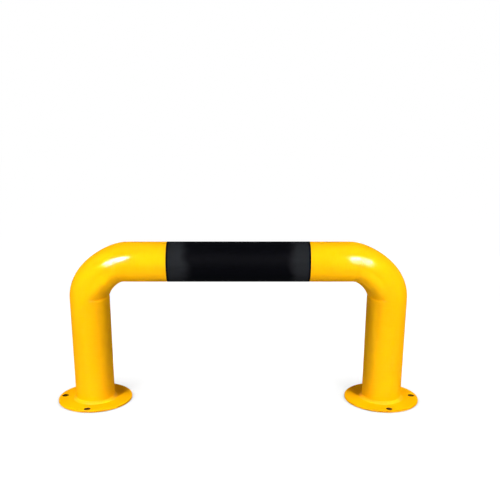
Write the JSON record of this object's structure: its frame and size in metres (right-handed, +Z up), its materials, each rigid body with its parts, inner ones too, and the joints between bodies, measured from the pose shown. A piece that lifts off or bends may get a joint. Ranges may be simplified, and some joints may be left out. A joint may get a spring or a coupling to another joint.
{
  "type": "u-shaped barrier hoop",
  "caption": "Low U-shaped barrier hoop: a bent steel tube with a black band on its crossbar, welded to round base plates that bolt to the floor.",
  "frame": {"origin": "on the floor, midway between the two base plates", "axes": "+X along the crossbar to the right, +Y to the back, +Z up"},
  "size_m": [0.719, 0.145, 0.3183],
  "materials": {
    "yellow_paint": "gloss",
    "plate_paint": "gloss",
    "weld_paint": "gloss",
    "black_film": "satin"
  },
  "bodies": {
    "root": {"hoop_tube": "yellow_paint", "black_band": "black_film", "left_base_plate": "plate_paint", "right_base_plate": "plate_paint", "left_weld_bead": "weld_paint", "right_weld_bead": "weld_paint"}
  },
  "joints": []
}
